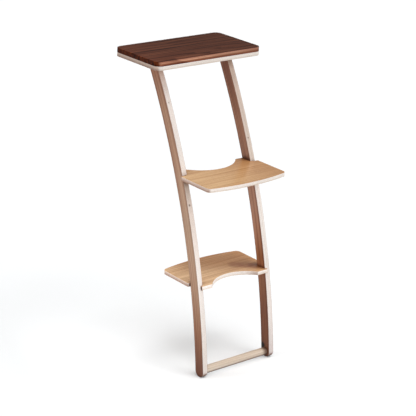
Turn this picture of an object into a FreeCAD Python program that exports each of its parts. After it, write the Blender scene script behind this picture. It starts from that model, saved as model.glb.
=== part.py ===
"""Leaning ladder shelf: two curved rails carry a top, two shelves and a foot rung.

Millimetres, +Z up.  The floor is z = 0 and the wall side is +Y.  The origin is the
centre of the bounding box's bottom face.  Every piece is its own node, one STEP file each.
"""
import FreeCAD
import Part
import math
import os

Vector = FreeCAD.Vector

# ---- driving dimensions ------------------------------------------------------------
TOTAL_HEIGHT = 960.0

BOARD_THICKNESS = 14.5        # solid top board
PLATE_THICKNESS = 12.5        # plywood top plate, and each shelf with its veneers
TOP_WIDTH = 400.0
TOP_DEPTH = 220.0
TOP_CORNER = 22.0
TOP_OVERHANG = 85.5           # board's front edge ahead of the rails' front edges

RAIL_SPAN = 284.0             # across the two rails' outer faces
RAIL_THICKNESS = 18.0         # with both veneers
RAIL_DEPTH = 37.0             # across the curved bar, square to its curve
RAIL_RADIUS = 2276.0          # of the bar's middle line
RAIL_CENTRE_Z = -196.0        # height of the curve's centre, below the floor
VENEER = 0.6

SHELF_WIDTH = 300.0
SHELF_CORNER = 15.0
SHELF_BOW = 670.0             # radius of the gently rounded long edge
CUTOUT_RADIUS = 120.0
CUTOUT_REACH = 147.0          # from the crown of the long edge to the bottom of the cut-out
TONGUE_LENGTH = 44.5          # from the shoulder to the tongue's end
EAR_CORNER = 4.0
TONGUE_CORNER = 3.0
MIDDLE_SHELF_TOP = 619.0
MIDDLE_SHELF_REACH = 150.5    # from the crown to the shoulder
LOWER_SHELF_TOP = 292.5
LOWER_SHELF_REACH = 144.0
HOUSING_DEPTH = 6.0           # groove across each rail's inner face, for a tongue

RUNG_DIAMETER = 25.0
RUNG_SOCKET = 8.0             # blind bore in each rail

PAD_WIDTH = 12.0
PAD_RECESS = 2.0
PAD_PROUD = 0.5
PAD_HALF_ANGLE = 38.0         # degrees each side of straight down
WALL_PAD_DIAMETER = 10.0
WALL_PAD_PROUD = 1.5
WALL_PAD_X = 150.0

DOWEL_DIAMETER = 6.0
DOWEL_LENGTH = 30.0
DOWEL_IN_RAIL = 8.0           # beyond the bottom of the housing
DOWEL_SPACING = 20.0
TOP_DOWEL_LENGTH = 26.0
TOP_DOWEL_IN_PLATE = 8.0
TOP_DOWEL_OFFSET = -14.0      # from the middle of the rail's sawn top, along Y
TOP_SCREW_OFFSET = -3.0

RAIL_SCREW = {"length": 42.0, "shank": 4.6, "head": 9.0}
BOARD_SCREW = {"length": 20.0, "shank": 3.6, "head": 7.2}
BOARD_SCREW_X = (-160.0, 0.0, 160.0)
BOARD_SCREW_INSET = 32.0      # from the front and rear edges

FIT = 0.05                    # gap all round a glued or screwed fit
BOARD_EASE = 2.0
PLATE_EASE = 0.8
VENEER_EASE = 0.35            # rounding of the shelves' veneers
RAIL_CHAMFER = 0.3            # of the rails' veneers

# ---- sizes that follow ---------------------------------------------------------------
BOARD_BOTTOM = TOTAL_HEIGHT - BOARD_THICKNESS
RAIL_TOP = BOARD_BOTTOM - PLATE_THICKNESS
OUTER_X = RAIL_SPAN / 2
INNER_X = OUTER_X - RAIL_THICKNESS
FRONT_RADIUS = RAIL_RADIUS + RAIL_DEPTH / 2
REAR_RADIUS = RAIL_RADIUS - RAIL_DEPTH / 2
FOOT_Z = RAIL_DEPTH / 2 + PAD_PROUD
# The foot's centre is at y = 0 until the whole object is moved to its origin.
FOOT_ANGLE = math.asin((FOOT_Z - RAIL_CENTRE_Z) / RAIL_RADIUS)
RAIL_CENTRE_Y = RAIL_RADIUS * math.cos(FOOT_ANGLE)


def rail_y(radius, z):
    """Y of a rail's curve of the given radius, at height z."""
    return RAIL_CENTRE_Y - math.sqrt(radius ** 2 - (z - RAIL_CENTRE_Z) ** 2)


MIDDLE_SHOULDER = rail_y(FRONT_RADIUS, MIDDLE_SHELF_TOP - PLATE_THICKNESS) - FIT
MIDDLE_CROWN = MIDDLE_SHOULDER - MIDDLE_SHELF_REACH
LOWER_SHOULDER = rail_y(REAR_RADIUS, LOWER_SHELF_TOP) + FIT
LOWER_CROWN = LOWER_SHOULDER + LOWER_SHELF_REACH
RAIL_TOP_Y = (rail_y(FRONT_RADIUS, RAIL_TOP) + rail_y(REAR_RADIUS, RAIL_TOP)) / 2
TOP_FRONT = rail_y(FRONT_RADIUS, RAIL_TOP) - TOP_OVERHANG
TOP_REAR = TOP_FRONT + TOP_DEPTH
MOVE_Y = -(MIDDLE_CROWN + TOP_REAR + WALL_PAD_PROUD) / 2


# ---- helpers -------------------------------------------------------------------------
def export(name, *solids):
    """Write one node, moved so that the origin is at the object's reference point."""
    shape = solids[0] if len(solids) == 1 else Part.makeCompound(list(solids))
    shape = shape.copy()
    shape.translate(Vector(0, MOVE_Y, 0))
    shape.exportStep("parts/" + name + ".step")
    print(name, len(shape.Solids), shape.isValid(), round(shape.Volume))


def box(x0, x1, y0, y1, z0, z1):
    return Part.makeBox(x1 - x0, y1 - y0, z1 - z0, Vector(x0, y0, z0))


def rod_x(diameter, x0, x1, y, z):
    return Part.makeCylinder(diameter / 2, x1 - x0, Vector(x0, y, z), Vector(1, 0, 0))


def rod_z(diameter, x, y, z0, z1):
    return Part.makeCylinder(diameter / 2, z1 - z0, Vector(x, y, z0), Vector(0, 0, 1))


def arc(start, middle, end):
    return Part.Arc(start, middle, end).toShape()


def line(start, end):
    return Part.LineSegment(start, end).toShape()


def mirrored(shape):
    return shape.mirror(Vector(0, 0, 0), Vector(1, 0, 0))


def is_level(edge, z):
    return all(abs(vertex.Z - z) < 1e-4 for vertex in edge.Vertexes)


def round_arris(solid, radius, z):
    """Round every edge that lies at height z."""
    return solid.makeFillet(radius, [edge for edge in solid.Edges if is_level(edge, z)])


def round_corners(solid, radius, corners):
    """Round the upright edges that stand at the given (x, y) corners."""
    edges = []
    for edge in solid.Edges:
        ends = edge.Vertexes
        upright = len(ends) == 2 and math.hypot(ends[0].X - ends[1].X, ends[0].Y - ends[1].Y) < 1e-6
        for x, y in corners:
            if upright and math.hypot(ends[0].X - x, ends[0].Y - y) < 1e-3:
                edges.append(edge)
    return solid.makeFillet(radius, edges)


# ---- rails -----------------------------------------------------------------------------
def rail_point(x, radius, angle):
    y = RAIL_CENTRE_Y - radius * math.cos(angle)
    z = RAIL_CENTRE_Z + radius * math.sin(angle)
    return Vector(x, y, z)


def rail_bar(x0, x1):
    """Curved bar between two upright planes, with a half-round foot and a level top."""
    front_top = math.asin((RAIL_TOP - RAIL_CENTRE_Z) / FRONT_RADIUS)
    rear_top = math.asin((RAIL_TOP - RAIL_CENTRE_Z) / REAR_RADIUS)
    foot = rail_point(x0, RAIL_RADIUS, FOOT_ANGLE)
    heel = Vector(0, -math.sin(FOOT_ANGLE), -math.cos(FOOT_ANGLE)) * (RAIL_DEPTH / 2)
    front_low = rail_point(x0, FRONT_RADIUS, FOOT_ANGLE)
    front_mid = rail_point(x0, FRONT_RADIUS, (FOOT_ANGLE + front_top) / 2)
    front_high = rail_point(x0, FRONT_RADIUS, front_top)
    rear_high = rail_point(x0, REAR_RADIUS, rear_top)
    rear_mid = rail_point(x0, REAR_RADIUS, (FOOT_ANGLE + rear_top) / 2)
    rear_low = rail_point(x0, REAR_RADIUS, FOOT_ANGLE)
    outline = Part.Wire([
        arc(front_low, front_mid, front_high),
        line(front_high, rear_high),
        arc(rear_high, rear_mid, rear_low),
        arc(rear_low, foot + heel, front_low),
    ])
    return Part.Face(outline).extrude(Vector(x1 - x0, 0, 0))


def rail_housings():
    """Grooves across the left rail's inner face, one for each shelf's tongue."""
    cuts = []
    for top in (MIDDLE_SHELF_TOP, LOWER_SHELF_TOP):
        y = rail_y(RAIL_RADIUS, top)
        cuts.append(box(-INNER_X - HOUSING_DEPTH, -INNER_X + 1, y - RAIL_DEPTH, y + RAIL_DEPTH,
                        top - PLATE_THICKNESS - FIT, top + FIT))
    return cuts


def rung_socket():
    return rod_x(RUNG_DIAMETER + 2 * FIT, -INNER_X - RUNG_SOCKET, -INNER_X + 1, 0, FOOT_Z)


def pad_ring(inner_radius, outer_radius, half_angle):
    """Sector of a ring round the foot's centre, as wide as the left foot's pad."""
    middle_x = -(OUTER_X + INNER_X) / 2
    start = Vector(middle_x - PAD_WIDTH / 2, 0, FOOT_Z)
    axis = Vector(1, 0, 0)
    outer = Part.makeCylinder(outer_radius, PAD_WIDTH, start, axis)
    ring = outer.cut(Part.makeCylinder(inner_radius, PAD_WIDTH, start, axis))
    reach = 2 * outer_radius
    side = reach * math.tan(math.radians(half_angle))
    low_z = FOOT_Z - reach
    wedge = Part.Face(Part.makePolygon([
        start,
        Vector(start.x, -side, low_z),
        Vector(start.x, side, low_z),
        start,
    ])).extrude(axis * PAD_WIDTH)
    return ring.common(wedge)


def foot_pad():
    return pad_ring(RAIL_DEPTH / 2 - PAD_RECESS, RAIL_DEPTH / 2 + PAD_PROUD, PAD_HALF_ANGLE)


def pad_recess():
    return pad_ring(RAIL_DEPTH / 2 - PAD_RECESS, RAIL_DEPTH / 2 + 1, PAD_HALF_ANGLE)


def dowel_places():
    """(y, z) of the dowels that pin each shelf's tongues into the rails."""
    places = {}
    for name, top in (("middle", MIDDLE_SHELF_TOP), ("lower", LOWER_SHELF_TOP)):
        z = top - PLATE_THICKNESS / 2
        y = rail_y(RAIL_RADIUS, z)
        places[name] = [(y - DOWEL_SPACING / 2, z), (y + DOWEL_SPACING / 2, z)]
    return places


def shelf_dowel(y, z, gap=0.0):
    start = -INNER_X - HOUSING_DEPTH - DOWEL_IN_RAIL
    return rod_x(DOWEL_DIAMETER + 2 * gap, start - gap, start + DOWEL_LENGTH + gap, y, z)


def top_dowel(gap=0.0):
    x = -(OUTER_X + INNER_X) / 2
    top = RAIL_TOP + TOP_DOWEL_IN_PLATE
    return rod_z(DOWEL_DIAMETER + 2 * gap, x, RAIL_TOP_Y + TOP_DOWEL_OFFSET,
                 top - TOP_DOWEL_LENGTH - gap, top + gap)


def left_rail_core():
    core = rail_bar(-OUTER_X + VENEER, -INNER_X - VENEER)
    cuts = rail_housings() + [rung_socket(), pad_recess(), top_dowel(FIT), rail_screw(FIT)]
    for places in dowel_places().values():
        cuts += [shelf_dowel(y, z, FIT) for y, z in places]
    for cut in cuts:
        core = core.cut(cut)
    return core


def rail_skin(face_x, core_x):
    """A side veneer of the left rail, chamfered all round the face that shows."""
    skin = rail_bar(min(face_x, core_x), max(face_x, core_x))
    rim = [edge for edge in skin.Edges if all(abs(vertex.X - face_x) < 1e-6 for vertex in edge.Vertexes)]
    return skin.makeChamfer(RAIL_CHAMFER, rim)


def left_inner_veneer():
    skin = rail_skin(-INNER_X, -INNER_X - VENEER)
    for cut in rail_housings() + [rung_socket()]:
        skin = skin.cut(cut)
    return skin


# ---- shelves ---------------------------------------------------------------------------
def shelf_layer(crown, facing, reach, z0, z1):
    """One layer of a shelf.  facing is +1 where the tongues point to the wall, -1 where away."""
    half = SHELF_WIDTH / 2
    side = INNER_X + HOUSING_DEPTH - FIT
    end = reach + TONGUE_LENGTH
    depth = end - CUTOUT_REACH
    tip = math.sqrt(CUTOUT_RADIUS ** 2 - (CUTOUT_RADIUS - depth) ** 2)
    drop = SHELF_BOW - math.sqrt(SHELF_BOW ** 2 - half ** 2)

    def at(x, along):
        return Vector(x, crown + facing * along, z0)

    outline = Part.Wire([
        arc(at(-half, drop), at(0, 0), at(half, drop)),
        line(at(half, drop), at(half, reach)),
        line(at(half, reach), at(side, reach)),
        line(at(side, reach), at(side, end)),
        line(at(side, end), at(tip, end)),
        arc(at(tip, end), at(0, CUTOUT_REACH), at(-tip, end)),
        line(at(-tip, end), at(-side, end)),
        line(at(-side, end), at(-side, reach)),
        line(at(-side, reach), at(-half, reach)),
        line(at(-half, reach), at(-half, drop)),
    ])
    layer = Part.Face(outline).extrude(Vector(0, 0, z1 - z0))
    for radius, x, along in (
        (SHELF_CORNER, half, drop),
        (EAR_CORNER, half, reach),
        (TONGUE_CORNER, tip, end),
    ):
        places = [(sign * x, crown + facing * along) for sign in (-1, 1)]
        layer = round_corners(layer, radius, places)
    return layer


def shelf(name, crown, facing, reach, top):
    """The plywood core and its two oak veneers, and the dowels that pin the tongues."""
    bottom = top - PLATE_THICKNESS
    places = dowel_places()[name]
    core = shelf_layer(crown, facing, reach, bottom + VENEER, top - VENEER)
    for y, z in places:
        bore = shelf_dowel(y, z, FIT)
        core = core.cut(bore).cut(mirrored(bore))
    upper = round_arris(shelf_layer(crown, facing, reach, top - VENEER, top), VENEER_EASE, top)
    lower = round_arris(shelf_layer(crown, facing, reach, bottom, bottom + VENEER), VENEER_EASE, bottom)
    dowels = [shelf_dowel(y, z) for y, z in places]
    dowels += [mirrored(dowel) for dowel in dowels]
    export(name + "_shelf_core", core)
    export(name + "_shelf_top_veneer", upper)
    export(name + "_shelf_bottom_veneer", lower)
    export(name + "_shelf_dowels", *dowels)


# ---- top -------------------------------------------------------------------------------
def top_slab(z0, z1):
    slab = box(-TOP_WIDTH / 2, TOP_WIDTH / 2, TOP_FRONT, TOP_REAR, z0, z1)
    corners = [(x, y) for x in (-TOP_WIDTH / 2, TOP_WIDTH / 2) for y in (TOP_FRONT, TOP_REAR)]
    return round_corners(slab, TOP_CORNER, corners)


def countersunk_screw(x, y, head_z, up, length, shank, head, gap=0.0):
    """Wood screw whose flat head is at head_z and whose point goes up (+1) or down (-1)."""
    cone_height = (head - shank) / 2
    point_height = shank
    way = Vector(0, 0, up)
    base = Vector(x, y, head_z)
    cone = Part.makeCone(head / 2 + gap, shank / 2 + gap, cone_height, base, way)
    straight = length - cone_height - point_height
    body = Part.makeCylinder(shank / 2 + gap, straight + gap, base + way * cone_height, way)
    point = Part.makeCone(shank / 2 + gap, shank / 10, point_height,
                          base + way * (cone_height + straight + gap), way)
    screw = cone.fuse(body).fuse(point).removeSplitter()
    if gap:
        return screw
    return screw.cut(cross_recess(x, y, head_z, up, head))


def cross_recess(x, y, head_z, up, head):
    """Cross-shaped driver recess in a screw's head."""
    reach = head * 0.27
    half = head * 0.055
    depth = head * 0.2
    z0 = min(head_z, head_z + up * depth)
    z1 = max(head_z, head_z + up * depth)
    bar = box(x - reach, x + reach, y - half, y + half, z0, z1)
    return bar.fuse(box(x - half, x + half, y - reach, y + reach, z0, z1))


def rail_screw(gap=0.0):
    x = -(OUTER_X + INNER_X) / 2
    return countersunk_screw(x, RAIL_TOP_Y + TOP_SCREW_OFFSET, BOARD_BOTTOM, -1, gap=gap, **RAIL_SCREW)


def board_screws(gap=0.0):
    rows = (TOP_FRONT + BOARD_SCREW_INSET, TOP_REAR - BOARD_SCREW_INSET)
    return [countersunk_screw(x, y, RAIL_TOP, 1, gap=gap, **BOARD_SCREW) for x in BOARD_SCREW_X for y in rows]


def top():
    board = round_arris(top_slab(BOARD_BOTTOM, TOTAL_HEIGHT), BOARD_EASE, TOTAL_HEIGHT)
    board = round_arris(board, PLATE_EASE, BOARD_BOTTOM)
    plate = top_slab(RAIL_TOP, BOARD_BOTTOM)
    plate = round_arris(plate, PLATE_EASE, RAIL_TOP)
    plate = round_arris(plate, PLATE_EASE, BOARD_BOTTOM)
    for cut in board_screws(FIT):
        board = board.cut(cut)
        plate = plate.cut(cut)
    for cut in (rail_screw(FIT), top_dowel(FIT)):
        plate = plate.cut(cut).cut(mirrored(cut))
    export("top_board", board)
    export("top_plate", plate)
    export("board_screws", *board_screws())
    export("rail_top_screws", rail_screw(), mirrored(rail_screw()))
    export("rail_top_dowels", top_dowel(), mirrored(top_dowel()))


# ---- build -----------------------------------------------------------------------------
def rails():
    for name, piece in (
        ("rail_core", left_rail_core()),
        ("rail_outer_veneer", rail_skin(-OUTER_X, -OUTER_X + VENEER)),
        ("rail_inner_veneer", left_inner_veneer()),
        ("foot_pad", foot_pad()),
    ):
        export("left_" + name, piece)
        export("right_" + name, mirrored(piece))


def rung():
    reach = INNER_X + RUNG_SOCKET - FIT
    export("foot_rung", rod_x(RUNG_DIAMETER, -reach, reach, 0, FOOT_Z))


def wall_pads():
    z = RAIL_TOP + PLATE_THICKNESS / 2
    pads = []
    for x in (-WALL_PAD_X, WALL_PAD_X):
        pads.append(Part.makeCylinder(WALL_PAD_DIAMETER / 2, WALL_PAD_PROUD,
                                      Vector(x, TOP_REAR, z), Vector(0, 1, 0)))
    export("wall_pads", *pads)


os.makedirs("parts", exist_ok=True)
top()
rails()
rung()
wall_pads()
shelf("middle", MIDDLE_CROWN, 1, MIDDLE_SHELF_REACH, MIDDLE_SHELF_TOP)
shelf("lower", LOWER_CROWN, -1, LOWER_SHELF_REACH, LOWER_SHELF_TOP)
print("move y", round(MOVE_Y, 3))
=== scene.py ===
"""Looks for the leaning ladder shelf: woods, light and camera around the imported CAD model."""
import math

import bpy
from mathutils import Matrix, Vector


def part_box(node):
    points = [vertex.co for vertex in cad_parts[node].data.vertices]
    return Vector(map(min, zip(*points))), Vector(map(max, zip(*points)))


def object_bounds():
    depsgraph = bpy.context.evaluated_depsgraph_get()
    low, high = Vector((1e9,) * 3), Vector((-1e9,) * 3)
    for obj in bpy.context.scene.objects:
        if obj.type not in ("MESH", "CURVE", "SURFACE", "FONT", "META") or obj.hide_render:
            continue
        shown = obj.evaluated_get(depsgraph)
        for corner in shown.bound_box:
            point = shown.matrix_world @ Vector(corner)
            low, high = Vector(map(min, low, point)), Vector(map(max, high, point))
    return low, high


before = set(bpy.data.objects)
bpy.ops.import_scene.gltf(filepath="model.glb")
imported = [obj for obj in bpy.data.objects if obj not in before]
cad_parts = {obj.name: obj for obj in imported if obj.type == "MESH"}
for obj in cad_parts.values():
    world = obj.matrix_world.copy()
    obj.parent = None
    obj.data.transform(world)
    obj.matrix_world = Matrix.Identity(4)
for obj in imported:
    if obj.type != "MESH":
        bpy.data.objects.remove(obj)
cad_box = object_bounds()

# ---- dimensions, in metres, in the row frame -------------------------------------------
HEIGHT = cad_box[1][2]
RAIL_INNER_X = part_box("right_rail_inner_veneer")[0].x
PLY = 0.0014                       # thickness of one ply
CURVE_Y, CURVE_Z = 2.0808, -0.196  # centre of the rails' curve
CURVE_RADIUS = 2.276
RAIL_HALF = 0.0185                 # half a rail's depth
X_AXIS, Z_AXIS = 0, 2

# ---- camera ----------------------------------------------------------------------------
CAMERA_AZIMUTH = -39.216           # degrees
CAMERA_ELEVATION = 20.064
CAMERA_ROLL = 2.529
CAMERA_DISTANCE = 4.634
CAMERA_AIM = Vector((0.0, -0.019, 0.474))
CAMERA_LENS = 129.2                # mm
SENSOR_WIDTH = 36.0                # mm

# ---- light -----------------------------------------------------------------------------
SKY = 0.335                        # even light from all round
SKY_SEEN = 0.99                    # what the camera sees behind the object
FLOOR_SEEN = (0.862, 0.874, 0.881, 1)
FLOOR_BOUNCE = (0.42, 0.42, 0.42, 1)
FLOOR_REACH = 40.0                 # from its middle to its edge, in metres


def linear(red, green, blue):
    """An 8-bit sRGB colour as the linear RGBA that shaders use."""
    channels = []
    for value in (red, green, blue):
        share = value / 255
        channels.append(share / 12.92 if share <= 0.04045 else ((share + 0.055) / 1.055) ** 2.4)
    return (*channels, 1.0)


def stops(*rows):
    """Ramp stops from rows of (place, red, green, blue)."""
    return [(place, (red, green, blue, 1)) for place, red, green, blue in rows]


# ---- colours of the woods, each as (dark, middle, light) -------------------------------
WALNUT = (linear(42, 18, 11), linear(75, 40, 29), linear(101, 61, 46))
OAK = (linear(178, 133, 92), linear(196, 153, 110), linear(208, 168, 125))
OUTER_VENEER = (linear(134, 92, 68), linear(164, 126, 100), linear(182, 148, 122))
INNER_VENEER = (linear(112, 68, 48), linear(146, 98, 74), linear(168, 120, 94))
RUNG_BEECH = (linear(170, 147, 127), linear(197, 179, 160), linear(211, 197, 181))
DOWEL_BEECH = (linear(190, 158, 124), linear(212, 184, 150), linear(226, 203, 172))

# ---- colours of small things -----------------------------------------------------------
LONG_GRAIN = (linear(226, 216, 208), linear(248, 244, 241))  # of birch plies: dark, light
END_GRAIN = (linear(202, 187, 175), linear(233, 224, 216))
GLUE = linear(150, 118, 96)
# Brown of knots, and of painted shade at the lower shelf's joints.
KNOT_AND_SHADE = linear(104, 74, 56)
OAK_FLECK = linear(232, 203, 162)
# Painted shadow of a rail on a shelf's oak.
RAIL_SHADOW_ON_OAK = linear(112, 44, 20)    # beside a rail
# Painted shade on a rail, behind the rung's end.
SHADE_BEHIND_RUNG_COLOUR = linear(14, 5, 3)      # on a rail, behind the rung's end
ZINC = (linear(176, 158, 108), linear(206, 196, 160))
BLACK_RUBBER = (38, 38, 40)        # 8-bit sRGB
GREY_RUBBER = (150, 150, 148)

# ---- tones, which multiply a colour ----------------------------------------------------
# Painted shade on wood right beside a joint, and in corners.
CONTACT_SHADE_TONE = (0.36, 0.22, 0.16, 1)    # wood right beside a joint
# Painted shade under the rung, and at its right end where it meets the rail.
RUNG_UNDERSIDE_SHADE_TONE = (0.50, 0.43, 0.40, 1)
RUNG_END_SHADE_TONE = (0.27, 0.18, 0.14, 1)
WALNUT_END_TONE = (0.94, 0.58, 0.26, 1)
# Painted light and shade across the walnut's face, from the first (x, y) to the second.
WALNUT_LIGHT_GRADIENT = ((-0.12, -0.24), (0.15, -0.08), (1.28, 1.19, 1.05, 1), (0.96, 0.95, 0.87, 1))

# From a flat piece's underside to its top.  The walnut's lighter edges are its own tone, and their
# rise towards the top is painted highlight.
WALNUT_EDGE_AND_HIGHLIGHT = stops((0.0, 2.25, 2.4, 2.5), (0.4, 2.95, 3.8, 4.2), (1.0, 5.2, 8.1, 10.0))
LONG_SIDE = stops((0.0, 0.86, 0.78, 0.70), (0.4, 1.05, 1.04, 1.03), (1.0, 1.10, 1.10, 1.10))
SHORT_SIDE = stops((0.0, 0.46, 0.29, 0.24), (0.5, 0.82, 0.64, 0.55), (1.0, 1.10, 0.98, 0.91))

# Painted light and shade, from the floor to the object's top.  On the right rail's front edge the
# darker upper part is partly the birch's own browner tone.
OUTER_HEIGHT_SHADING = stops(
    (0.03, 0.58, 0.37, 0.30), (0.14, 0.86, 0.67, 0.58), (0.28, 1.05, 1.09, 1.13),
    (0.50, 1.01, 1.16, 1.29), (0.82, 1.24, 1.18, 1.19), (0.95, 1.05, 0.82, 0.77))
INNER_HEIGHT_SHADING = stops(
    (0.03, 0.65, 0.53, 0.45), (0.16, 0.73, 0.57, 0.49), (0.28, 1.38, 1.32, 1.16),
    (0.34, 0.98, 0.86, 0.67), (0.42, 1.27, 1.32, 1.32), (0.50, 1.24, 1.44, 1.62),
    (0.66, 1.04, 1.11, 1.18), (0.76, 1.24, 1.32, 1.36), (0.95, 0.80, 0.63, 0.53))
EDGE_SHADING_AND_TONE = {
    "left": stops(
        (0.03, 0.92, 0.90, 0.89), (0.28, 0.99, 1.00, 1.01), (0.55, 1.00, 0.94, 0.91),
        (0.72, 0.84, 0.84, 0.84), (0.88, 0.98, 0.95, 0.95), (0.95, 0.93, 0.76, 0.69)),
    "right": stops(
        (0.03, 0.82, 0.78, 0.80), (0.14, 1.00, 0.98, 0.99), (0.35, 0.96, 0.96, 0.96),
        (0.55, 1.10, 1.10, 1.10), (0.66, 0.76, 0.71, 0.66), (0.80, 0.67, 0.59, 0.54),
        (0.92, 0.84, 0.70, 0.62), (0.96, 0.58, 0.42, 0.34)),
}

# ---- painted shade and knots, in metres ------------------------------------------------
CONTACT_SHADE_REACH = 0.018              # width of the painted shade beside joints
PLYWOOD_CONTACT_SHADE_REACH = 0.030
# The oak's wider painted shade darkens the shelves beside the rails.
OAK_CONTACT_SHADE_REACH = 0.055
RUNG_END_SHADE = (0.024, 0.007)     # from the right rail to where the rung's painted shade starts, and is full
SHADE_BEHIND_RUNG = (-0.172, 0.035)      # Y and Z of the painted shade on a rail behind the rung's end
SHADE_BEHIND_RUNG_RADIUS = 0.014

# Dark spots in the rails' front edges, as (x, z, radius): knots, and on the left rail the lowest,
# beside the lower shelf, painted shade at the joint.
RAIL_KNOTS_AND_SHADE = {
    "left": ((-0.1335, 0.822, 0.0028), (-0.1340, 0.532, 0.0044), (-0.1255, 0.284, 0.0100)),
    "right": ((0.1330, 0.686, 0.0034),),
}

# Spots in a shelf's edges, and soft painted shadow of a rail on its top, are (x, y, z, radius); the
# lower shelf's edge spots are painted shade at its left joint.  sides is how light its long and short
# sides are.  The gradient entry is where its oak's painted light and shade starts and ends, as (x, y),
# and the two tones.
SHELVES = {
    "middle": {
        "seed": 3.0,
        "sides": (1.02, 0.84),
        "light_gradient": ((-0.11, -0.19), (0.13, -0.06), (1.07, 1.10, 1.06, 1), (0.82, 0.71, 0.58, 1)),
        "knots_and_shade": (),
        "shade": (),
    },
    "lower": {
        "seed": 7.0,
        "sides": (1.13, 0.84),
        "light_gradient": ((-0.06, -0.12), (0.02, -0.02), (1.42, 1.56, 1.74, 1), (0.88, 0.75, 0.63, 1)),
        # These spots are painted shade where the shelf meets the left rail.
        "knots_and_shade": ((-0.1265, -0.159, 0.283, 0.010), (-0.140, -0.1175, 0.285, 0.013)),
        # Painted shadow of the right rail on the shelf's top.
        "shade": ((0.112, -0.126, 0.2925, 0.030), (0.094, -0.106, 0.2925, 0.034),
                  (0.066, -0.086, 0.2925, 0.032)),
    },
}


# ---- material nodes --------------------------------------------------------------------
def emptied(owner):
    """The node tree of a material or world, with nothing in it."""
    owner.use_nodes = True
    owner.node_tree.nodes.clear()
    return owner.node_tree


class Graph:
    """A material's node tree.  Most methods add one node and return its output socket."""

    def __init__(self, name):
        self.material = bpy.data.materials.new(name)
        self.tree = emptied(self.material)
        self.shader = self.add("ShaderNodeBsdfPrincipled")
        output = self.add("ShaderNodeOutputMaterial")
        self.tree.links.new(self.shader.outputs["BSDF"], output.inputs["Surface"])

    def add(self, kind, **settings):
        node = self.tree.nodes.new(kind)
        for name, value in settings.items():
            setattr(node, name, value)
        return node

    def feed(self, socket, value):
        if isinstance(value, bpy.types.NodeSocket):
            self.tree.links.new(value, socket)
        else:
            socket.default_value = value

    def math(self, operation, first, second=0.0, third=0.0):
        node = self.add("ShaderNodeMath", operation=operation)
        for socket, value in zip(node.inputs, (first, second, third)):
            self.feed(socket, value)
        return node.outputs[0]

    def coordinates(self, kind):
        """X, Y and Z of one of an object's coordinate kinds."""
        node = self.add("ShaderNodeSeparateXYZ")
        self.feed(node.inputs[0], self.add("ShaderNodeTexCoord").outputs[kind])
        return node.outputs

    def position(self):
        """X, Y and Z in the row frame."""
        return self.coordinates("Object")

    def normal(self):
        return self.coordinates("Normal")

    def vector(self, x, y, z):
        node = self.add("ShaderNodeCombineXYZ")
        for socket, value in zip(node.inputs, (x, y, z)):
            self.feed(socket, value)
        return node.outputs[0]

    def noise(self, space, scales, detail=2.0, roughness=0.5, distortion=0.0, offset=0.0):
        """Noise stretched by three scales, in cycles per metre along each coordinate of space."""
        scaled = []
        for value, scale in zip(space, scales):
            scaled.append(self.math("MULTIPLY_ADD", value, scale, offset))
        node = self.add("ShaderNodeTexNoise")
        self.feed(node.inputs["Vector"], self.vector(*scaled))
        node.inputs["Scale"].default_value = 1.0
        node.inputs["Detail"].default_value = detail
        node.inputs["Roughness"].default_value = roughness
        node.inputs["Distortion"].default_value = distortion
        return node.outputs[0]

    def ramp(self, factor, colour_stops):
        """Colour ramp through (place, colour) stops, given in rising order."""
        node = self.add("ShaderNodeValToRGB")
        elements = node.color_ramp.elements
        for element, (place, colour) in zip(list(elements), (colour_stops[0], colour_stops[-1])):
            element.position = place
            element.color = colour
        for place, colour in colour_stops[1:-1]:
            elements.new(place).color = colour
        self.feed(node.inputs[0], factor)
        return node.outputs[0]

    def remap(self, value, low, high):
        """0 at low and 1 at high, with a smooth step between."""
        node = self.add("ShaderNodeMapRange", interpolation_type="SMOOTHSTEP")
        for socket, number in zip(node.inputs, (value, low, high, 0.0, 1.0)):
            self.feed(socket, number)
        return node.outputs[0]

    def mix(self, factor, first, second, blend="MIX"):
        node = self.add("ShaderNodeMix", data_type="RGBA", blend_type=blend)
        self.feed(node.inputs[0], factor)
        self.feed(node.inputs[6], first)
        self.feed(node.inputs[7], second)
        return node.outputs[2]

    def toned(self, colour, tone):
        """A colour times a tone."""
        return self.mix(1.0, colour, tone, "MULTIPLY")

    def scaled(self, colour, factor):
        """A colour times a number."""
        node = self.add("ShaderNodeVectorMath", operation="SCALE")
        self.feed(node.inputs[0], colour)
        self.feed(node.inputs["Scale"], factor)
        return node.outputs[0]

    def random(self, value):
        node = self.add("ShaderNodeTexWhiteNoise", noise_dimensions="1D")
        self.feed(node.inputs["W"], value)
        return node.outputs["Value"]

    def spot(self, colour, centre, radius, spot_colour, strength=0.8):
        """A colour with a soft round spot, at full strength in the inner third of its radius."""
        node = self.add("ShaderNodeVectorMath", operation="DISTANCE")
        self.feed(node.inputs[0], self.vector(*self.position()))
        node.inputs[1].default_value = centre
        near = self.remap(node.outputs["Value"], radius, radius * 0.35)
        return self.mix(self.math("MULTIPLY", near, strength), colour, spot_colour)

    def contact_shade(self, colour, reach):
        """A colour with painted shade, reach metres wide, that darkens it where pieces meet and in
        corners.
        """
        node = self.add("ShaderNodeAmbientOcclusion", samples=8)
        node.inputs["Distance"].default_value = reach
        openness = self.remap(node.outputs["AO"], 0.40, 0.94)
        return self.mix(openness, self.toned(colour, CONTACT_SHADE_TONE), colour)

    def finish(self, colour, roughness, height, depth, contact_shade=CONTACT_SHADE_REACH, **sockets):
        """Connect the shader, with painted contact shade on the colour, and bump from height, which is
        depth metres deep.
        """
        self.feed(self.shader.inputs["Base Color"], self.contact_shade(colour, contact_shade))
        self.feed(self.shader.inputs["Roughness"], roughness)
        for name, value in sockets.items():
            self.shader.inputs[name.replace("_", " ")].default_value = value
        bump = self.add("ShaderNodeBump")
        bump.inputs["Strength"].default_value = 1.0
        bump.inputs["Distance"].default_value = depth
        self.feed(bump.inputs["Height"], height)
        self.feed(self.shader.inputs["Normal"], bump.outputs[0])
        return self.material


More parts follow.
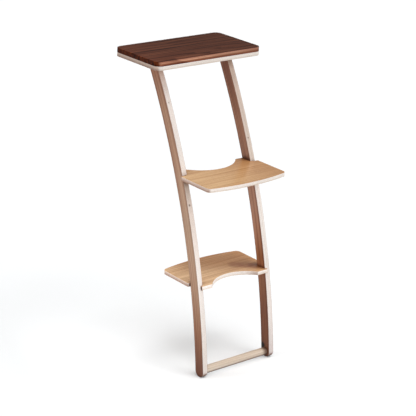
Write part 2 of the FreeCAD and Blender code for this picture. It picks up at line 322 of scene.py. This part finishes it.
# ---- wood ------------------------------------------------------------------------------
def plank_space(graph, shift=0.0):
    """Grain coordinates of a piece whose grain runs along X: (along, across, through)."""
    x, y, z = graph.position()
    return graph.math("ADD", x, shift), y, z


def rail_space(graph):
    """Grain coordinates that follow a rail's curve: (along, across, through)."""
    x, y, z = graph.position()
    back = graph.math("SUBTRACT", CURVE_Y, y)
    up = graph.math("SUBTRACT", z, CURVE_Z)
    squares = graph.math("ADD", graph.math("MULTIPLY", back, back), graph.math("MULTIPLY", up, up))
    across = graph.math("SUBTRACT", graph.math("SQRT", squares), CURVE_RADIUS)
    along = graph.math("MULTIPLY", graph.math("ARCTAN2", up, back), CURVE_RADIUS)
    return along, across, x


def grain(graph, space, colours, spacing, wander, fibre=0.10, pore=0.0, fineness=1.0, seed=0.0):
    """Growth rings, fibres and pores.  Returns colour, height and a streak value for gloss.

    spacing is the rings' spacing in metres, and wander how far they stray, in rings.  fibre
    and pore are how strongly those show.  The higher the fineness, the narrower the streaks.
    """
    dark, middle, light = colours

    # Rings get darker over their later half, and end at once.
    drift = graph.noise(space, (1.6, 9.0, 9.0), detail=3.0, distortion=0.4, offset=seed)
    stray = graph.math("MULTIPLY", drift, wander)
    ring = graph.math("FRACT", graph.math("MULTIPLY_ADD", space[1], 1.0 / spacing, stray))
    late = graph.math("MULTIPLY", graph.remap(ring, 0.45, 0.95), graph.remap(ring, 1.0, 0.95))

    # Streaks are some decimetres long and a few millimetres wide.
    along, across = 1.1 * fineness, 62.0 * fineness
    band = graph.noise(space, (along, across, across), detail=3.0, roughness=0.55,
                       offset=seed + 3.1)
    share = graph.math("SUBTRACT", band, graph.math("MULTIPLY", late, 0.16))
    colour = graph.ramp(share, ((0.26, dark), (0.45, middle), (0.62, light)))

    threads = graph.noise(space, (9.0, 900.0, 900.0), roughness=0.6, offset=seed + 5.7)
    colour = graph.scaled(colour, graph.math("MULTIPLY_ADD", threads, 2.0 * fibre, 1.0 - fibre))
    height = graph.math("MULTIPLY", threads, 0.5)
    if pore:
        dashes = graph.noise(space, (75.0, 2300.0, 2300.0), detail=1.0, offset=seed + 8.3)
        open_pores = graph.remap(dashes, 0.62, 0.70)
        colour = graph.scaled(colour, graph.math("MULTIPLY_ADD", open_pores, -pore, 1.0))
        height = graph.math("SUBTRACT", height, open_pores)
    return colour, height, band


def painted_light_gradient(graph, colour, start, end, start_tone, end_tone):
    """A colour whose tone changes from start to end, two (x, y) points: painted light and shade."""
    way = Vector(end) - Vector(start)
    way = way / way.length_squared
    place = graph.position()
    from_start = [graph.math("SUBTRACT", place[axis], start[axis]) for axis in (0, 1)]
    share = graph.math("MULTIPLY_ADD", from_start[0], way.x,
                       graph.math("MULTIPLY", from_start[1], way.y))
    tone = graph.ramp(graph.remap(share, 0.0, 1.0), ((0.0, start_tone), (1.0, end_tone)))
    return graph.toned(colour, tone)


def shaded_by_height(graph, colour, height_shading):
    """A colour whose tone changes from the floor to the object's top: painted light and shade, and on
    the right rail's edge partly its own tone.
    """
    share = graph.math("DIVIDE", graph.position()[2], HEIGHT)
    return graph.toned(colour, graph.ramp(share, height_shading))


def gloss(graph, streaks, spread, smoothest):
    """Roughness that varies with the streaks, by spread, from its smoothest value up."""
    return graph.math("MULTIPLY_ADD", streaks, spread, smoothest)


def solid_walnut():
    """Top board: dark face, lighter red-brown long edges, darker end grain, painted light and shade
    across the face, and painted highlight on the upper edges and arris.
    """
    graph = Graph("walnut_board")
    space = plank_space(graph)
    face, height, band = grain(graph, space, WALNUT, spacing=0.021, wander=5.0,
                               fibre=0.30, pore=0.35, fineness=1.6, seed=1.7)
    face = painted_light_gradient(graph, face, *WALNUT_LIGHT_GRADIENT)
    low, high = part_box("top_board")
    rise = graph.remap(space[2], low.z, high.z)
    x, y, z = graph.normal()
    long_edge = graph.remap(graph.math("ABSOLUTE", y), 0.60, 0.98)
    end_grain = graph.remap(graph.math("ABSOLUTE", x), 0.45, 0.80)
    # Painted highlight where the eased arris turns from the face.
    arris_highlight = graph.math("MULTIPLY", graph.remap(z, 0.15, 0.5), graph.remap(z, 0.98, 0.75))
    edge = graph.toned(face, graph.ramp(rise, WALNUT_EDGE_AND_HIGHLIGHT))
    colour = graph.mix(long_edge, face, edge)
    colour = graph.mix(end_grain, colour, graph.toned(face, WALNUT_END_TONE))
    colour = graph.scaled(colour, graph.math("MULTIPLY_ADD", arris_highlight, 0.35, 1.0))
    roughness = gloss(graph, band, spread=0.18, smoothest=0.46)
    return graph.finish(colour, roughness, height, depth=0.00006, Specular_IOR_Level=0.07)


def oak_veneer(name, seed, light_gradient, shade):
    """Oak veneer, with painted light and shade across it.  shade is (x, y, z, radius) of soft spots of
    painted shadow cast by a rail.
    """
    graph = Graph(name)
    space = plank_space(graph, seed)
    colour, height, band = grain(graph, space, OAK, spacing=0.0085, wander=3.0,
                                 fibre=0.16, pore=0.30, fineness=2.0, seed=seed)
    dots = graph.noise(space, (180.0, 700.0, 700.0), detail=0.0, offset=seed + 2.0)
    flecks = graph.remap(dots, 0.74, 0.82)
    colour = graph.mix(graph.math("MULTIPLY", flecks, 0.35), colour, OAK_FLECK)
    colour = painted_light_gradient(graph, colour, *light_gradient)
    for *centre, radius in shade:
        colour = graph.spot(colour, centre, radius, RAIL_SHADOW_ON_OAK, strength=0.44)
    roughness = gloss(graph, band, spread=0.12, smoothest=0.18)
    return graph.finish(colour, roughness, height, depth=0.00005, contact_shade=OAK_CONTACT_SHADE_REACH)


def rail_veneer(name, colours, height_shading, seed, rung_end=None):
    """Brown veneer, with painted light and shade along its height, and painted shade towards its front
    and back edges.  rung_end is the centre of the painted shade behind the rung's end.
    """
    graph = Graph(name)
    space = rail_space(graph)
    colour, height, band = grain(graph, space, colours, spacing=0.0062, wander=2.2,
                                 fibre=0.16, pore=0.24, fineness=1.7, seed=seed)
    colour = shaded_by_height(graph, colour, height_shading)
    # Painted shade, darker towards the veneer's front and back edges.
    edge_shade = graph.remap(graph.math("ABSOLUTE", space[1]), 0.65 * RAIL_HALF, RAIL_HALF)
    colour = graph.scaled(colour, graph.math("MULTIPLY_ADD", edge_shade, -0.25, 1.0))
    # Painted shade on the rail, in the corner behind the rung's end.
    if rung_end:
        colour = graph.spot(colour, rung_end, SHADE_BEHIND_RUNG_RADIUS, SHADE_BEHIND_RUNG_COLOUR, strength=0.97)
    roughness = gloss(graph, band, spread=0.16, smoothest=0.44)
    return graph.finish(colour, roughness, height, depth=0.00005, Specular_IOR_Level=0.3)


def beech(name, colours, seed, between_rails=False):
    """Round rod of beech along X, with its short flecks.

    Between the rails it has painted shade underneath, and most of all at its right end.
    """
    graph = Graph(name)
    space = plank_space(graph, seed)
    colour, height, band = grain(graph, space, colours, spacing=0.0048, wander=1.5,
                                 fibre=0.08, seed=seed)
    dots = graph.noise(space, (420.0, 1500.0, 1500.0), detail=0.0, offset=seed)
    flecks = graph.remap(dots, 0.66, 0.72)
    colour = graph.scaled(colour, graph.math("MULTIPLY_ADD", flecks, -0.22, 1.0))
    if between_rails:
        # Painted shade underneath, and towards the right end, where the rod enters the rail.
        under = graph.remap(graph.normal()[2], -0.15, -0.60)
        colour = graph.mix(under, colour, graph.toned(colour, RUNG_UNDERSIDE_SHADE_TONE))
        start, full = (RAIL_INNER_X - distance for distance in RUNG_END_SHADE)
        end = graph.remap(graph.position()[0], start, full)
        colour = graph.mix(end, colour, graph.toned(colour, RUNG_END_SHADE_TONE))
    roughness = gloss(graph, band, spread=0.12, smoothest=0.46)
    return graph.finish(colour, roughness, height, depth=0.00004)


# ---- plywood ---------------------------------------------------------------------------
def plies(graph, axis, start, end):
    """A point's ply in a stack, its place within the ply, and its place within the stack."""
    count = max(3, round((end - start) / PLY))
    depth = graph.math("SUBTRACT", graph.position()[axis], start)
    level = graph.math("MULTIPLY", depth, count / (end - start))
    # A point on the stack's own face counts as just inside it.
    level = graph.math("MAXIMUM", graph.math("MINIMUM", level, count - 0.02), 0.02)
    rise = graph.math("DIVIDE", level, count)
    return graph.math("FLOOR", level), graph.math("FRACT", level), rise


def side_tone(graph, rise, turned, sides):
    """Tone of a flat piece's sides, of which those that face left or right are browner, and those
    turned partly left are browner sooner, as painted shade.
    """
    long_tone = graph.scaled(graph.ramp(rise, LONG_SIDE), sides[0])
    short_tone = graph.scaled(graph.ramp(rise, SHORT_SIDE), sides[1])
    # Painted shade on faces turned partly to the left.
    left = graph.remap(graph.normal()[0], -0.45, -0.80)
    return graph.mix(graph.math("MAXIMUM", turned, left), long_tone, short_tone)


def plywood(name, axis, start, end, space_of, seed, knots_and_shade=(), height_shading=None, sides=(1.0, 1.0)):
    """Birch plywood with its plies stacked along the X or Z axis, from start to end.

    Plies alternate between long grain and end grain, with a thin glue line between them, and
    on the short sides of a flat piece it is the other plies that show end grain.  Small dark spots
    in the edges, given as (x, y, z, radius), are knots and painted shade at joints, and sides is how
    light a flat piece's long and short sides are.
    """
    graph = Graph(name)
    space = space_of(graph)
    flat = axis == Z_AXIS
    ply, inside, rise = plies(graph, axis, start, end)
    own = graph.random(graph.math("ADD", ply, seed))
    shifted = [graph.math("MULTIPLY_ADD", ply, 0.37, value) for value in space]
    streak = graph.noise(shifted, (3.0, 170.0, 170.0), detail=3.0, roughness=0.55, offset=seed)
    speckle = graph.noise(space, (1500.0, 1500.0, 500.0), roughness=0.6, offset=seed)
    long_grain = graph.ramp(streak, ((0.30, LONG_GRAIN[0]), (0.66, LONG_GRAIN[1])))
    end_grain = graph.ramp(speckle, ((0.32, END_GRAIN[0]), (0.62, END_GRAIN[1])))
    turned = graph.remap(graph.math("ABSOLUTE", graph.normal()[0]), 0.60, 0.95) if flat else 0.0
    odd = graph.math("MODULO", ply, 2.0)
    crossed = graph.math("ABSOLUTE", graph.math("SUBTRACT", odd, turned))
    colour = graph.mix(crossed, long_grain, end_grain)
    colour = graph.scaled(colour, graph.math("MULTIPLY_ADD", own, 0.12, 0.92))
    wood = graph.math("MULTIPLY", graph.remap(inside, 0.0, 0.10), graph.remap(inside, 1.0, 0.90))
    colour = graph.mix(graph.math("MULTIPLY_ADD", wood, -0.45, 0.45), colour, GLUE)
    if flat:
        colour = graph.toned(colour, side_tone(graph, rise, turned, sides))
    if height_shading:
        colour = shaded_by_height(graph, colour, height_shading)
    for *centre, radius in knots_and_shade:
        colour = graph.spot(colour, centre, radius, KNOT_AND_SHADE)
    height = graph.math("ADD", graph.math("MULTIPLY", speckle, 0.5), graph.math("MULTIPLY", wood, 0.5))
    roughness = gloss(graph, speckle, spread=0.15, smoothest=0.5)
    return graph.finish(colour, roughness, height, depth=0.00004, contact_shade=PLYWOOD_CONTACT_SHADE_REACH)


# ---- rubber and steel ------------------------------------------------------------------
def rubber(name, shade, seed):
    """Matt rubber of an 8-bit sRGB shade."""
    graph = Graph(name)
    grit = graph.noise(graph.position(), (1800.0, 1800.0, 1800.0), detail=3.0, offset=seed)
    dark, light = (linear(*[value * share for value in shade]) for share in (0.8, 1.2))
    colour = graph.ramp(grit, ((0.3, dark), (0.7, light)))
    roughness = gloss(graph, grit, spread=0.2, smoothest=0.62)
    return graph.finish(colour, roughness, grit, depth=0.00008)


def zinc():
    """Zinc plating, with fine turning marks."""
    graph = Graph("yellow_zinc")
    space = graph.position()
    cloud = graph.noise(space, (420.0, 420.0, 420.0), detail=3.0)
    marks = graph.noise(space, (300.0, 300.0, 4200.0), offset=4.0)
    colour = graph.ramp(cloud, ((0.3, ZINC[0]), (0.7, ZINC[1])))
    roughness = gloss(graph, marks, spread=0.25, smoothest=0.22)
    return graph.finish(colour, roughness, marks, depth=0.00002, Metallic=1.0)


# ---- which piece gets which ------------------------------------------------------------
def dress(material, *names):
    """Give whole CAD pieces a material."""
    for name in names:
        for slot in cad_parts[name].material_slots:
            slot.material = material


def dress_top():
    """The walnut board and the birch plate under it."""
    dress(solid_walnut(), "top_board")
    low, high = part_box("top_plate")
    plate = plywood("top_plate_birch", Z_AXIS, low.z, high.z, plank_space, seed=2.0,
                    sides=(0.96, 1.0))
    dress(plate, "top_plate")


def edge_point(x, z):
    """A point on the front edge of a rail at height z."""
    radius = CURVE_RADIUS + RAIL_HALF
    y = CURVE_Y - math.sqrt(radius ** 2 - (z - CURVE_Z) ** 2)
    return x, y, z


def dress_rail(side, sign):
    """A rail's core and veneers.  sign is -1 on the left side, and 1 on the right side."""
    low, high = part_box(side + "_rail_core")
    knots_and_shade = [(*edge_point(x, z), radius) for x, z, radius in RAIL_KNOTS_AND_SHADE[side]]
    core = plywood(side + "_rail_birch", X_AXIS, low.x, high.x, rail_space, seed=5.0 + sign,
                   knots_and_shade=knots_and_shade, height_shading=EDGE_SHADING_AND_TONE[side])
    outer = rail_veneer(side + "_outer_veneer", OUTER_VENEER, OUTER_HEIGHT_SHADING, seed=11.0 + sign)
    inner = rail_veneer(side + "_inner_veneer", INNER_VENEER, INNER_HEIGHT_SHADING, seed=17.0 + sign,
                        rung_end=(sign * RAIL_INNER_X, *SHADE_BEHIND_RUNG))
    dress(core, side + "_rail_core")
    dress(outer, side + "_rail_outer_veneer")
    dress(inner, side + "_rail_inner_veneer")


def dress_shelf(shelf, seed, sides, light_gradient, knots_and_shade, shade):
    """A shelf's core and its two oak veneers, as SHELVES describes them."""
    low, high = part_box(shelf + "_shelf_core")
    core = plywood(shelf + "_shelf_birch", Z_AXIS, low.z, high.z, plank_space, seed,
                   knots_and_shade=knots_and_shade, sides=sides)
    dress(core, shelf + "_shelf_core")
    dress(oak_veneer(shelf + "_top_oak", seed, light_gradient, shade), shelf + "_shelf_top_veneer")
    dress(oak_veneer(shelf + "_bottom_oak", seed + 20.0, light_gradient, ()), shelf + "_shelf_bottom_veneer")


def dress_small_pieces():
    """Rung, dowels, pads and screws.  The rung casts no shadow, so the floor below stays pale."""
    dress(beech("rung_beech", RUNG_BEECH, seed=0.0, between_rails=True), "foot_rung")
    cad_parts["foot_rung"].visible_shadow = False
    dress(beech("dowel_beech", DOWEL_BEECH, seed=6.0),
          "middle_shelf_dowels", "lower_shelf_dowels", "rail_top_dowels")
    dress(rubber("foot_rubber", BLACK_RUBBER, seed=1.0), "left_foot_pad", "right_foot_pad")
    dress(rubber("bumper_rubber", GREY_RUBBER, seed=2.0), "wall_pads")
    dress(zinc(), "rail_top_screws", "board_screws")


dress_top()
dress_rail("left", -1)
dress_rail("right", 1)
for shelf, look in SHELVES.items():
    dress_shelf(shelf, **look)
dress_small_pieces()


# ---- floor, light and camera -----------------------------------------------------------
def shader(tree, kind, colour=None):
    """Output of a new shader node."""
    node = tree.nodes.new(kind)
    if colour:
        node.inputs["Color"].default_value = colour
    return node.outputs[0]


def shader_mix(tree, factor, first, second):
    """Output of a mix of two shaders."""
    node = tree.nodes.new("ShaderNodeMixShader")
    for socket, source in zip(node.inputs, (factor, first, second)):
        tree.links.new(source, socket)
    return node.outputs[0]


def floor():
    """White floor, clear from below.  Bounced light sees it darker, as a floor lit only nearby."""
    material = bpy.data.materials.new("floor_white")
    tree = emptied(material)
    seen = shader(tree, "ShaderNodeBsdfDiffuse", FLOOR_SEEN)
    bounced = shader(tree, "ShaderNodeBsdfDiffuse", FLOOR_BOUNCE)
    clear = shader(tree, "ShaderNodeBsdfTransparent")
    path = tree.nodes.new("ShaderNodeLightPath")
    direct = tree.nodes.new("ShaderNodeMath")
    direct.operation = "MAXIMUM"
    tree.links.new(path.outputs["Is Camera Ray"], direct.inputs[0])
    tree.links.new(path.outputs["Is Glossy Ray"], direct.inputs[1])
    upper = shader_mix(tree, direct.outputs[0], bounced, seen)
    side = tree.nodes.new("ShaderNodeNewGeometry")
    output = tree.nodes.new("ShaderNodeOutputMaterial")
    both = shader_mix(tree, side.outputs["Backfacing"], upper, clear)
    tree.links.new(both, output.inputs["Surface"])

    mesh = bpy.data.meshes.new("floor")
    corners = [(x * FLOOR_REACH, y * FLOOR_REACH, 0) for x, y in ((-1, -1), (1, -1), (1, 1), (-1, 1))]
    mesh.from_pydata(corners, [], [(0, 1, 2, 3)])
    mesh.materials.append(material)
    plane = bpy.data.objects.new("floor", mesh)
    bpy.context.scene.collection.objects.link(plane)


def sky():
    """White behind the object, and a dimmer even light on it."""
    world = bpy.data.worlds.new("studio")
    bpy.context.scene.world = world
    tree = emptied(world)
    seen = shader(tree, "ShaderNodeBackground", (SKY_SEEN, SKY_SEEN, SKY_SEEN, 1))
    lighting = shader(tree, "ShaderNodeBackground", (SKY, SKY, SKY, 1))
    path = tree.nodes.new("ShaderNodeLightPath")
    output = tree.nodes.new("ShaderNodeOutputWorld")
    both = shader_mix(tree, path.outputs["Is Camera Ray"], lighting, seen)
    tree.links.new(both, output.inputs["Surface"])


def direction(azimuth, elevation):
    """Unit vector from the object towards something at that azimuth and elevation, in degrees."""
    a, e = math.radians(azimuth), math.radians(elevation)
    return Vector((math.sin(a) * math.cos(e), -math.cos(a) * math.cos(e), math.sin(e)))


def placed(name, data, rotation, location=(0.0, 0.0, 0.0)):
    """An object in the scene, for a light's or camera's data."""
    thing = bpy.data.objects.new(name, data)
    thing.rotation_mode = "QUATERNION"
    thing.rotation_quaternion = rotation
    thing.location = location
    bpy.context.scene.collection.objects.link(thing)
    return thing


def sun(name, azimuth, elevation, strength, softness):
    """Sun at an azimuth and elevation, as wide as its softness, all in degrees."""
    lamp = bpy.data.lights.new(name, "SUN")
    lamp.energy = strength
    lamp.angle = math.radians(softness)
    placed(name, lamp, direction(azimuth, elevation).to_track_quat("Z", "Y"))


def softbox(name, place, target, side, power):
    """Small square light near the object, which neither the camera nor a reflection sees."""
    lamp = bpy.data.lights.new(name, "AREA")
    lamp.shape = "SQUARE"
    lamp.size = side
    lamp.energy = power
    away = Vector(place) - Vector(target)
    light = placed(name, lamp, away.to_track_quat("Z", "Y"), place)
    light.visible_camera = False
    light.visible_glossy = False


def camera():
    """Camera at its distance from the aim, turned by its roll."""
    back = direction(CAMERA_AZIMUTH, CAMERA_ELEVATION)
    right = (-back).cross(Vector((0, 0, 1))).normalized()
    up = right.cross(-back)
    roll = math.radians(CAMERA_ROLL)
    turned_right = right * math.cos(roll) + up * math.sin(roll)
    turned_up = up * math.cos(roll) - right * math.sin(roll)
    axes = Matrix((turned_right, turned_up, back)).transposed()
    data = bpy.data.cameras.new("camera")
    data.lens = CAMERA_LENS
    data.sensor_width = SENSOR_WIDTH
    data.clip_end = 200.0
    place = CAMERA_AIM + back * CAMERA_DISTANCE
    bpy.context.scene.camera = placed("camera", data, axes.to_quaternion(), place)


floor()
sky()
camera()
sun("overhead", azimuth=32, elevation=76, strength=2.0, softness=50)
sun("front_key", azimuth=18, elevation=24, strength=1.19, softness=40)
sun("right_high", azimuth=40, elevation=50, strength=0.30, softness=120)
softbox("left_fill", place=(-0.56, 0.08, 0.41), target=(0.0, -0.05, 0.41), side=0.2, power=1.5)
softbox("front_fill", place=(-0.35, -0.5, 0.45), target=(0.0, -0.05, 0.42), side=0.2, power=0.43)
bpy.context.scene.view_settings.view_transform = "Standard"
